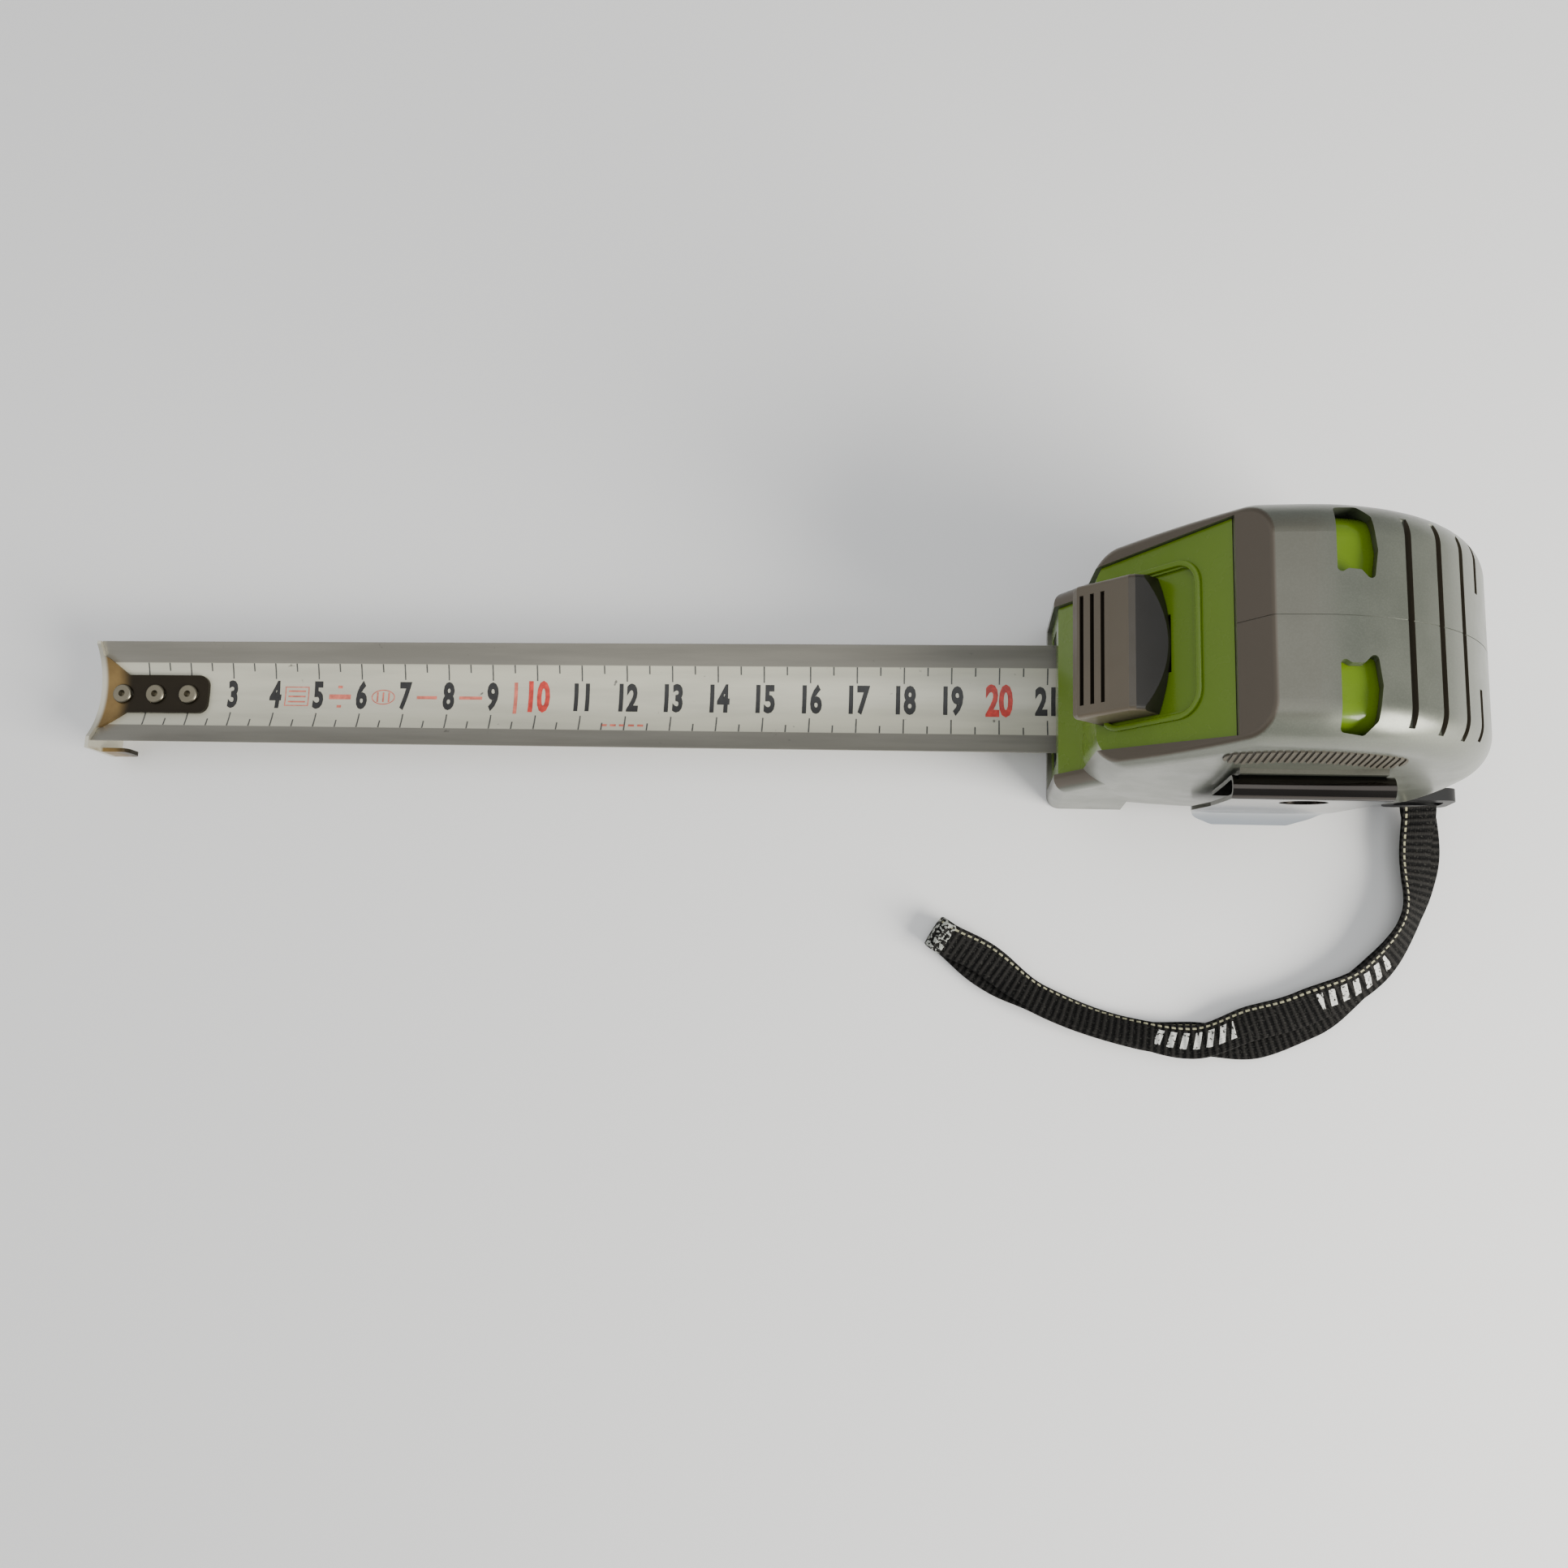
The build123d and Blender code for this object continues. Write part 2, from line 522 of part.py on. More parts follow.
def end_hook():
    """A tongue on the blade, a plate that hangs in front of its end, and a tab beside its left edge."""
    seat = BLADE_CUP_RADIUS - BLADE_THICKNESS - 0.03
    half = 0.78
    layer = cup_shell(seat, seat - HOOK_THICKNESS, HOOK_X - HOOK_THICKNESS, HOOK_X + 24.5, half)
    outline = (
        (HOOK_X + 24.5, -4.3), (HOOK_X + 5.6, -4.3), (HOOK_X + 1.2, -7.8), (HOOK_X - 2, -9.4),
        (HOOK_X - 2, 9.4), (HOOK_X + 1.2, 7.8), (HOOK_X + 5.6, 4.3), (HOOK_X + 24.5, 4.3),
    )
    tongue_plan = plan_prism(outline, 0, 30)
    tongue_plan = fillet(tongue_plan.edges().filter_by(Axis.Z).sort_by(Axis.X)[-2:], 2.0)
    tongue = layer & tongue_plan
    for from_end in RIVETS_FROM_END:
        x = HOOK_X + from_end
        slot = Pos(x + HOOK_PLAY / 2, 0, 9) * Box(HOOK_PLAY, 2.6, 12)
        for end in (x, x + HOOK_PLAY):
            slot += Pos(end, 0, 9) * Cylinder(1.3, 12)
        tongue -= slot
    plate = box(HOOK_X - HOOK_THICKNESS, HOOK_X - HOOK_GAP, -13.2, 11.3, 0.8, 22)
    plate = fillet(plate.edges().filter_by(Axis.X).sort_by(Axis.Z)[:2], 3.0)
    hollow = Pos(0, 0, CUP_CENTRE_Z) * Rot(0, 90, 0) * Cylinder(seat - HOOK_THICKNESS, 600)
    plate -= hollow
    plate &= box(-300, 0, -14, 12, 0, 14.0)
    tab = box(HOOK_X - HOOK_THICKNESS, HOOK_X + 6.5, -13.2, -12.3, 3.8, 9.4)
    tab = fillet(tab.edges().filter_by(Axis.Y).sort_by(Axis.X)[-2:], 1.6)
    return tongue + plate + tab


# ---------------------------------------------------------------- lock
def lock_button():
    """The thumb slide: it overhangs the knee in front, has a grooved top and a steep back."""
    w, n = LOCK_HALF_WIDTH, LOCK_LENGTH
    front = ((0.0, 0.0), (-0.9, 5.0), (0.2, 7.0), (1.6, 7.5))
    side = front + ((8.4, 6.6), (12.4, 6.2), (13.4, 5.5), (n, 0.6), (n, 0.0))
    face = Plane.YZ * make_face(Polyline(*side, close=True))
    block = Pos(-w, 0, 0) * extrude(face, amount=2 * w)
    plan = make_face(
        Line((-w + 1.6, -2), (w - 1.6, -2))
        + Line((w - 1.6, -2), (w, 0.8))
        + Line((w, 0.8), (w, n - 2.6))
        + ThreePointArc((w, n - 2.6), (0, n), (-w, n - 2.6))
        + Line((-w, n - 2.6), (-w, 0.8))
        + Line((-w, 0.8), (-w + 1.6, -2))
    )
    block &= extrude(plan, amount=12)
    rim = block.edges().filter_by(lambda e: e.center().Z > 2.6)
    block = fillet(rim.filter_by(lambda e: abs(e.center().X) > w - 2.0), 0.9)
    for at in (2.6, 4.8, 7.0):
        block -= Pos(0, at, 7.4) * Box(2 * w - 4.4, 0.8, 3.0)
    return on_slope(block, up=LOCK_START, out=-LOCK_FLOOR + 0.15) + lock_stem()


def lock_stem():
    """The post under the button that passes through the core and the tongue."""
    stem = Pos(0, STEM_LENGTH / 2, -3.8) * Box(STEM_WIDTH, STEM_LENGTH, 5.6)
    return on_slope(stem, up=LOCK_START + STEM_START)


def lock_tongue():
    """The bar inside the core that carries the brake pad down to the blade."""
    plate = on_slope(Pos(0, 5.5, -5.7) * Box(15.0, 11.0, 1.8), up=LOCK_START + 3.8)
    side = ((BRAKE_FRONT, 12.6), (BRAKE_BACK, 12.6), (-24.6, 45.2), (-27.2, 42.4), (-29.3, 38.5))
    return plate + side_prism(side, -5.2, 5.2) - lock_stem()


def brake_pad():
    """The rubber shoe that presses the blade into the guide."""
    pad = box(BRAKE_FRONT, BRAKE_BACK, -5.2, 5.2, 9.0, 12.6)
    clear = BLADE_CUP_RADIUS - BLADE_THICKNESS - 0.12
    return pad & Pos(0, 0, CUP_CENTRE_Z) * Rot(0, 90, 0) * Cylinder(clear, 200)


# ---------------------------------------------------------------- wrist strap
def wrist_strap():
    """A round tube along the folded strap: straight runs joined by the largest arcs that fit."""
    points = [Vector(*p) for p in STRAP_ROUTE]
    radii = []
    for a, b, c in zip(points, points[1:], points[2:]):
        turn = radians((b - a).get_angle(c - b))
        radii.append(0.45 * min((b - a).length, (c - b).length) / tan(turn / 2))
    path = FilletPolyline(*points, radius=radii)
    section = Plane(origin=points[0], z_dir=points[1] - points[0]) * Circle(STRAP_TUBE / 2)
    tube = sweep(section, path=path)
    expected = pi * STRAP_TUBE**2 / 4 * path.length
    print("strap radii", [round(r, 1) for r in radii], "length", round(path.length, 1))
    print("strap volume share", round(tube.volume / expected, 4))
    return tube


# ---------------------------------------------------------------- everything
def main():
    os.makedirs("parts", exist_ok=True)
    forms = {
        "cover_outer": case_form(0),
        "cover_inner": case_form(COVER_WALL),
        "core_outer": case_form(COVER_WALL + CORE_GAP),
        "core_inner": case_form(COVER_WALL + CORE_GAP + CORE_WALL),
        "core_skin": case_form(0.9),
        "grip_top": main_body(-0.3),
        "grip_floor": main_body(0.9),
        "seam_floor": case_form(0.15),
    }
    parts = {}
    parts["left_cover"], parts["right_cover"] = covers(forms)
    parts["left_core"], parts["right_core"] = cores(forms)
    parts["left_grip"], parts["right_grip"] = grips(forms)
    makers = (
        centre_post, case_screws, belt_clip, clip_screw, clip_nut, side_badge, post_screw, blade_guide,
        mouth_bumper, lanyard_lug, drum, drum_cap, blade_coil, power_spring, tail_link, blade,
        hook_rivets, end_hook, lock_button, lock_tongue, brake_pad, wrist_strap,
    )
    for maker in makers:
        parts[maker.__name__] = maker()
    for name, shape in parts.items():
        export_step(shape, f"parts/{name}.step")


main()
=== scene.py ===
"""The finished look of a pocket tape measure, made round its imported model.

Lengths are metres unless a name says otherwise. The blade runs towards -X, the belt clip is on the -Y side.
"""

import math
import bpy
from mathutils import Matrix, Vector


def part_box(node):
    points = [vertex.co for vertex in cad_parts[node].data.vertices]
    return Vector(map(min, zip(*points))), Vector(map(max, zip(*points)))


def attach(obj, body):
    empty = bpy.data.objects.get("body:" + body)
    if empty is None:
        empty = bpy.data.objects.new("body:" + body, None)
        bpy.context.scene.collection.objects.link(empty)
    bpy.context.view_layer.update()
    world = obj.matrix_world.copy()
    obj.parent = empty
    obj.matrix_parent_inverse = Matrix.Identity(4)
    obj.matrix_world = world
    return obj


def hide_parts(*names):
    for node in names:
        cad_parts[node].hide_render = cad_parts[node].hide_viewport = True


bl_info = {
    "name": "Pocket tape measure",
    "version": (1, 0, 0),
    "blender": (4, 5, 0),
    "location": "3D View > Sidebar > Tape",
    "description": "Finishes, printed scale, webbing strap and studio for a pocket tape measure",
    "category": "Object",
}

import bpy
from bpy.props import FloatProperty, FloatVectorProperty, IntProperty, PointerProperty
from mathutils import Matrix, Vector

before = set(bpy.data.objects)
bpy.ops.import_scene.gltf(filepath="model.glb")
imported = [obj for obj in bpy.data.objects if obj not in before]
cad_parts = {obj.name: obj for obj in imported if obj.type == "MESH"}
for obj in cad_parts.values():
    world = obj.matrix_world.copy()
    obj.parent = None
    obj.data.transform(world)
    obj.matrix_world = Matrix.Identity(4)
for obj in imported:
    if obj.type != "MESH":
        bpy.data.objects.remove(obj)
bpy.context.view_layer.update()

MM = 0.001
CAMERA_PLACE = (-61.82 * MM, -71.36 * MM, 300.0 * MM)
CAMERA_TURN = (0.184, 0.107, 0.036)
CAMERA_LENS = 32.2  # millimetres
FLOOR_SIDE = 6.0
FLOOR_DROP = 0.02 * MM  # how far the floor lies under the base

SCALE_ZERO = Vector(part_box("blade")[0]).x  # the scale starts at the blade's end, under the hook
SLOPE_ANGLE = math.radians(47)  # of the front that the lock slides on
SLOPE_OUT = (-math.sin(SLOPE_ANGLE), 0.0, math.cos(SLOPE_ANGLE))
SLOPE_UP = (math.cos(SLOPE_ANGLE), 0.0, math.sin(SLOPE_ANGLE))
SLOPE_FOOT = (-34.5 * MM, 0.0, 43.7 * MM)
LIP_HALF_WIDTH = 14.4 * MM  # of the raised lip round the lock's track, to its outer edge
LIP_FOOT, LIP_TOP = 0.8 * MM, 23.9 * MM  # how far up the slope the whole loop would start and end
LIP_CUT = 1.6 * MM  # the loop is cut open this far above its foot
LIP_CORNER = 5.0 * MM  # all four corners are rounded, so the open ends turn inwards
LIP_SEAT = -1.0 * MM  # the lip's underside, measured out of the slope
LIP_HEIGHT = 0.65 * MM
LIP_EDGE = 0.25 * MM
PRINT_LIFT = 0.03 * MM  # how far the printed ink stands on the blade's enamel
PRINT_DEPTH = 0.02 * MM
PRINT_ABOVE = 0.03  # height that print is laid out at before it is dropped on the blade
PRINT_HALF = 9.0 * MM  # half the width that is cut into strips
PRINT_STRIPS = 18
TICK_WIDTH = 0.3 * MM
MARK_LINE = 0.22 * MM
CAPITAL_SHARE = 0.73  # a numeral's height as a share of the text size
NUMERAL_WEIGHT = 0.042  # how much the strokes are fattened, as a share of the text size
RED_GROWTH = 1.12  # the red numerals are this much larger
FIRST_NUMERAL = 3  # the hook covers the ones before it
RED_CENTIMETRES = (10, 20)

STRAP_EXIT = (0.0350, -0.0199, 0.0052)
STRAP_ROUTE = (
    STRAP_EXIT,
    (0.0358, -0.0300, 0.0035),
    (0.0336, -0.0435, 0.0029),
    (0.0250, -0.0552, 0.0028),
    (0.0098, -0.0644, 0.0028),
    (-0.0092, -0.0694, 0.0028),
    (-0.0270, -0.0670, 0.0028),
    (-0.0436, -0.0606, 0.0028),
    (-0.0554, -0.0524, 0.0028),
    (-0.0654, -0.0462, 0.0028),
)
# Fraction of the strap's length, and there: the webbing's tilt in degrees, then the gap between its two layers
# and how far they have slipped sideways past each other, in mm.
STRAP_LIE = (
    (0.00, 0, 0.9, 0.0),
    (0.07, 14, 1.6, 2.6),
    (0.19, 48, 1.2, 1.0),
    (0.28, 34, 1.1, 0.3),
    (0.40, 4, 1.5, 2.8),
    (0.48, -2, 1.9, 3.6),
    (0.58, -16, 1.6, -1.2),
    (0.70, -42, 0.9, 0.0),
    (0.82, -34, 0.9, 0.0),
    (0.92, -6, 1.6, 2.0),
    (1.00, 6, 3.4, 0.0),
)
STRAP_USED = 0.965  # share of the route that the webbing fills before it folds back
STRAP_MARKS = (0.30, 0.55)  # where along the strap the printed marks have their middles
STRAP_MARK_LENGTH = 0.12
STRAP_STEP = 0.3 * MM  # between the sections that the webbing is made of
FOLD_STEPS = 12


# ---------------------------------------------------------------- what a user would change
class TapeSizes(bpy.types.PropertyGroup):
    """Sizes of the pieces that are made here."""

    strap_width: FloatProperty(
        name="Strap width", description="Width of the webbing", default=7.0 * MM, unit="LENGTH"
    )
    strap_thickness: FloatProperty(
        name="Strap thickness", description="Thickness of one layer of webbing", default=1.0 * MM, unit="LENGTH"
    )
    strap_rib: FloatProperty(
        name="Rib pitch", description="Distance between the webbing's cross ribs", default=1.4 * MM, unit="LENGTH"
    )
    numeral_height: FloatProperty(
        name="Numeral height", description="Height of the printed numerals", default=5.9 * MM, unit="LENGTH"
    )
    numeral_squeeze: FloatProperty(
        name="Numeral squeeze", description="Width of the numerals against a plain face", default=0.62
    )
    band_half: FloatProperty(
        name="Printed band", description="Half the width of the pale printed band", default=7.15 * MM, unit="LENGTH"
    )
    tick_long: FloatProperty(
        name="Centimetre tick", description="Length of a whole centimetre's tick", default=3.3 * MM, unit="LENGTH"
    )
    tick_short: FloatProperty(
        name="Half tick", description="Length of a half centimetre's tick", default=1.7 * MM, unit="LENGTH"
    )
    lip_width: FloatProperty(
        name="Lip width", description="Width of the lip round the lock's track", default=1.1 * MM, unit="LENGTH"
    )
    last_centimetre: IntProperty(
        name="Last numeral", description="Last centimetre printed on the straight run", default=24
    )


def colour(name, description, default):
    """A colour that a user can change."""
    return FloatVectorProperty(name=name, description=description, default=default, subtype="COLOR", size=3)


class TapeColours(bpy.types.PropertyGroup):
    """Main colours of the pieces."""

    silver: colour("Cover", "Lacquer of the covers", (0.135, 0.145, 0.117))
    # The front-edge taupe is partly the lacquer's own colour and partly painted shade on faces that look away from
    # the light.
    taupe: colour("Front edge", "Lacquer of the covers' front edges", (0.085, 0.068, 0.048))
    green: colour("Core", "Green plastic of the core", (0.105, 0.185, 0.001))
    button: colour("Lock", "Plastic of the thumb lock", (0.095, 0.075, 0.048))
    enamel: colour("Blade", "Printed band of the blade", (0.50, 0.49, 0.395))
    margin: colour("Blade edges", "Bare-looking edges of the blade", (0.25, 0.24, 0.205))
    hook: colour("Hook", "Bronzed tongue of the end hook", (0.020, 0.0155, 0.009))


def sizes():
    return bpy.context.scene.tape_sizes


def colours():
    return bpy.context.scene.tape_colours


# ---------------------------------------------------------------- modelling helpers
def only(piece):
    """Makes one piece the whole selection."""
    bpy.ops.object.select_all(action="DESELECT")
    piece.select_set(True)
    bpy.context.view_layer.objects.active = piece


def named(name):
    """The object that an operator has just added, renamed."""
    piece = bpy.context.object
    piece.name = name
    piece.data.name = name
    return piece


def settle(piece):
    """Puts a piece's place and turn into its mesh."""
    only(piece)
    bpy.ops.object.transform_apply(location=True, rotation=True, scale=True)
    return piece


def join(pieces, name):
    """Joins several pieces of the same kind into one."""
    only(pieces[0])
    for piece in pieces:
        piece.select_set(True)
    bpy.ops.object.join()
    return settle(named(name))


def apply_modifier(piece, kind, **settings):
    only(piece)
    modifier = piece.modifiers.new(kind.title(), kind)
    for key, value in settings.items():
        setattr(modifier, key, value)
    bpy.ops.object.modifier_apply(modifier=modifier.name)


def give(piece, finish, body):
    """Finishes a new piece and fixes it to a body."""
    piece.data.materials.clear()
    piece.data.materials.append(finish)
    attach(piece, body)


def paint(node, finish):
    """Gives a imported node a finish."""
    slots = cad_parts[node].material_slots
    if not slots:
        raise RuntimeError(f"{node} has no material slot")
    for each in slots:
        each.material = finish


def smooth_between(table, at, column):
    """Reads a column of a table whose first column runs from 0 to 1, easing from row to row."""
    for low, high in zip(table, table[1:]):
        if at <= high[0]:
            share = (at - low[0]) / (high[0] - low[0])
            share = share * share * (3 - 2 * share)
            return low[column] + (high[column] - low[column]) * share
    return table[-1][column]


# ---------------------------------------------------------------- material helpers
class Finish:
    """A material under construction: nodes are added one by one, wired to sockets or set to values."""

    def __init__(self, name, **shader):
        self.material = bpy.data.materials.new(name)
        self.material.use_nodes = True
        self.tree = self.material.node_tree
        self.shader = self.tree.nodes["Principled BSDF"]
        self.wire(self.shader, {key.replace("_", " "): value for key, value in shader.items()})

    def wire(self, node, inputs):
        for key, value in inputs.items():
            socket = node.inputs[key]
            if isinstance(value, bpy.types.NodeSocket):
                self.tree.links.new(value, socket)
            elif hasattr(value, "__len__") and socket.type == "RGBA":
                socket.default_value = (*tuple(value)[:3], 1.0)
            else:
                socket.default_value = value

    def add(self, kind, inputs=None, **settings):
        node = self.tree.nodes.new("ShaderNode" + kind)
        for key, value in settings.items():
            setattr(node, key, value)
        self.wire(node, inputs or {})
        return node

    def coordinates(self, output="Object"):
        return self.add("TexCoord").outputs[output]

    def axes(self, vector=None):
        return self.add("SeparateXYZ", {"Vector": vector or self.coordinates()}).outputs

    def noise(self, scale, detail=3.0, rough=0.5, vector=None):
        inputs = {"Vector": vector or self.coordinates(), "Scale": scale, "Detail": detail, "Roughness": rough}
        return self.add("TexNoise", inputs).outputs["Fac"]

    def math(self, operation, first, second=0.0, clamp=False):
        return self.add("Math", {0: first, 1: second}, operation=operation, use_clamp=clamp).outputs[0]

    def ramp(self, value, low, high, start=0.0, end=1.0):
        """Eases from start to end as value goes from low to high."""
        inputs = {"Value": value, "From Min": low, "From Max": high, "To Min": start, "To Max": end}
        return self.add("MapRange", inputs, interpolation_type="SMOOTHSTEP").outputs["Result"]

    def near(self, value, middle, reach):
        """One within reach of a middle value, and nothing elsewhere."""
        node = self.add("Math", {0: value, 1: middle, 2: reach}, operation="COMPARE")
        return node.outputs[0]

    def facing(self, direction):
        """One where the surface looks in a direction, and nothing where it lies along it."""
        inputs = {0: self.coordinates("Normal"), 1: direction}
        return self.add("VectorMath", inputs, operation="DOT_PRODUCT").outputs["Value"]

    def mix(self, share, first, second):
        node = self.add("Mix", data_type="RGBA")
        self.wire(node, {"Factor": share})
        for socket, value in ((node.inputs[6], first), (node.inputs[7], second)):
            if isinstance(value, bpy.types.NodeSocket):
                self.tree.links.new(value, socket)
            else:
                socket.default_value = (*tuple(value)[:3], 1.0)
        return node.outputs[2]

    def bump(self, height, strength, distance):
        return self.add("Bump", {"Height": height, "Strength": strength, "Distance": distance}).outputs["Normal"]

    def to_shader(self, **inputs):
        self.wire(self.shader, {key.replace("_", " "): value for key, value in inputs.items()})
        return self.material


def shade(base, factor):
    """A colour made darker or lighter."""
    return tuple(min(1.0, channel * factor) for channel in base)


def moulded_plastic(name, base, roughness, grain=900.0, depth=0.02, coat=0.0):
    """Moulded plastic with a fine spark-eroded grain and slight unevenness of colour."""
    finish = Finish(name, IOR=1.46, Coat_Weight=coat, Coat_Roughness=0.12)
    cloud = finish.noise(60.0, 2.0)
    base_colour = finish.mix(cloud, shade(base, 0.86), shade(base, 1.12))
    fine = finish.noise(grain, 2.0)
    rough = finish.ramp(finish.noise(180.0), 0.3, 0.7, roughness - 0.05, roughness + 0.06)
    normal = finish.bump(fine, depth * 10, 0.05 * MM)
    return finish.to_shader(Base_Color=base_colour, Roughness=rough, Normal=normal)


def plain_metal(name, base, roughness, streak=(40.0, 900.0, 900.0)):
    """Bare or plated metal with drawn streaks along its length."""
    finish = Finish(name, Metallic=1.0)
    mapping = finish.add("Mapping", {"Vector": finish.coordinates(), "Scale": streak})
    lines = finish.noise(1.0, 3.0, vector=mapping.outputs["Vector"])
    base_colour = finish.mix(lines, shade(base, 0.8), shade(base, 1.15))
    rough = finish.ramp(lines, 0.3, 0.7, roughness - 0.06, roughness + 0.08)
    return finish.to_shader(Base_Color=base_colour, Roughness=rough)


# ---------------------------------------------------------------- camera and strap
class TAPE_OT_camera(bpy.types.Operator):
    """Add the camera that looks down on the case and the drawn-out blade"""

    bl_idname = "tape.camera"
    bl_label = "Camera"

    def execute(self, context):
        bpy.ops.object.select_all(action="DESELECT")
        bpy.ops.object.camera_add(location=CAMERA_PLACE, rotation=CAMERA_TURN)
        camera = named("camera")
        camera.data.lens = CAMERA_LENS
        camera.data.sensor_width = 36.0
        camera.data.clip_start = 0.01
        context.scene.camera = camera
        return {"FINISHED"}


def strap_line():
    """Points along the strap's smooth middle line."""
    data = bpy.data.curves.new("strap_line", "CURVE")
    data.dimensions = "3D"
    data.resolution_u = 48
    spline = data.splines.new("NURBS")
    spline.points.add(len(STRAP_ROUTE) - 1)
    for point, place in zip(spline.points, STRAP_ROUTE):
        point.co = (*place, 1.0)
    spline.order_u = 3
    spline.use_endpoint_u = True
    line = bpy.data.objects.new("strap_line", data)
    mesh = bpy.data.meshes.new_from_object(line)
    points = [vertex.co.copy() for vertex in mesh.vertices]
    bpy.data.objects.remove(line)
    bpy.data.meshes.remove(mesh)
    return points


def evenly(points, step):
    """The same line with its points a step apart, and each one's share of the length."""
    lengths = [0.0]
    for a, b in zip(points, points[1:]):
        lengths.append(lengths[-1] + (b - a).length)
    count = round(lengths[-1] / step)
    spaced, k = [], 0
    for i in range(count + 1):
        want = lengths[-1] * i / count
        while k < len(lengths) - 2 and lengths[k + 1] < want:
            k += 1
        share = (want - lengths[k]) / (lengths[k + 1] - lengths[k])
        spaced.append(points[k].lerp(points[k + 1], share))
    return spaced, lengths[-1]


def strap_stations(line, size):
    """Where the folded webbing runs: out along one layer, round the far fold and back along the other.

    Each station is a place, the direction across the webbing and the direction out of its face. The line that
    comes back with them runs between the layers, lifted where a tilted edge would dip under the floor.
    """
    out, back, lifted = [], [], []
    for i, place in enumerate(line):
        at = i / (len(line) - 1)
        ahead = (line[min(i + 1, len(line) - 1)] - line[max(i - 1, 0)]).normalized()
        level = ahead.cross(Vector((0, 0, 1))).normalized()
        tilt = math.radians(smooth_between(STRAP_LIE, at, 1))
        gap = smooth_between(STRAP_LIE, at, 2) * MM
        upright = level.cross(ahead).normalized()
        across = level * math.cos(tilt) + upright * math.sin(tilt)
        face = across.cross(ahead).normalized()
        fan = level * smooth_between(STRAP_LIE, at, 3) * MM / 2
        reach = size.strap_width / 2 * abs(math.sin(tilt)) + (gap / 2 + size.strap_thickness) * math.cos(tilt)
        place = Vector((place.x, place.y, max(place.z, reach + 0.1 * MM)))
        lifted.append(place)
        out.append((place + face * gap / 2 + fan, across, face))
        back.append((place - face * gap / 2 - fan, across, -face))
    last, across, face = line[-1], out[-1][1], out[-1][2]
    ahead = face.cross(across).normalized()
    radius = (out[-1][0] - back[-1][0]).length / 2
    middle = (out[-1][0] + back[-1][0]) / 2
    fold = []
    for k in range(1, FOLD_STEPS):
        turn = math.pi * k / FOLD_STEPS
        outward = face * math.cos(turn) + ahead * math.sin(turn)
        fold.append((middle + outward * radius, across, outward))
    return out + fold + back[::-1], lifted


class TAPE_OT_strap(bpy.types.Operator):
    """Weave the folded wrist strap along its route"""

    bl_idname = "tape.strap"
    bl_label = "Wrist strap"

    def execute(self, context):
        size = sizes()
        line, length = evenly(strap_line(), STRAP_STEP)
        line = line[: round(len(line) * STRAP_USED)]
        stations, middle = strap_stations(line, size)
        half, thick = size.strap_width / 2, size.strap_thickness / 2
        section = ((-1.0, 0.0), (-0.93, 0.8), (-0.5, 1.0), (0.0, 1.0), (0.5, 1.0), (0.93, 0.8))
        section += tuple((-x, -y) for x, y in section)
        vertices, faces, along = [], [], []
        travelled = 0.0
        for i, (place, across, face) in enumerate(stations):
            if i:
                travelled += (place - stations[i - 1][0]).length
            rib = 1.0 + 0.16 * math.cos(2 * math.pi * travelled / size.strap_rib)
            for x, y in section:
                edge = 1.0 if abs(x) > 0.9 else rib
                vertices.append(place + across * x * half + face * y * thick * edge)
            along.append(travelled)
        ring = len(section)
        for i in range(len(stations) - 1):
            for k in range(ring):
                a, b = i * ring + k, i * ring + (k + 1) % ring
                faces.append((b, a, a + ring, b + ring))
        faces.append(tuple(range(ring)))
        faces.append(tuple(reversed(range(len(vertices) - ring, len(vertices)))))
        mesh = bpy.data.meshes.new("webbing_strap")
        mesh.from_pydata(vertices, [], faces)
        layer = mesh.uv_layers.new(name="weave")
        for polygon in mesh.polygons:
            for loop in polygon.loop_indices:
                vertex = mesh.loops[loop].vertex_index
                x = section[vertex % ring][0]
                layer.data[loop].uv = (0.5 + 0.5 * x, along[vertex // ring] / size.strap_width)
        strap = bpy.data.objects.new("webbing_strap", mesh)
        context.collection.objects.link(strap)
        only(strap)
        bpy.ops.object.mode_set(mode="EDIT")
        bpy.ops.mesh.select_all(action="SELECT")
        bpy.ops.mesh.normals_make_consistent(inside=False)
        bpy.ops.object.mode_set(mode="OBJECT")
        bpy.ops.object.shade_smooth_by_angle(angle=math.radians(50))
        give(strap, webbing_finish(size, length), "case")
        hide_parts("wrist_strap")
        return {"FINISHED"}


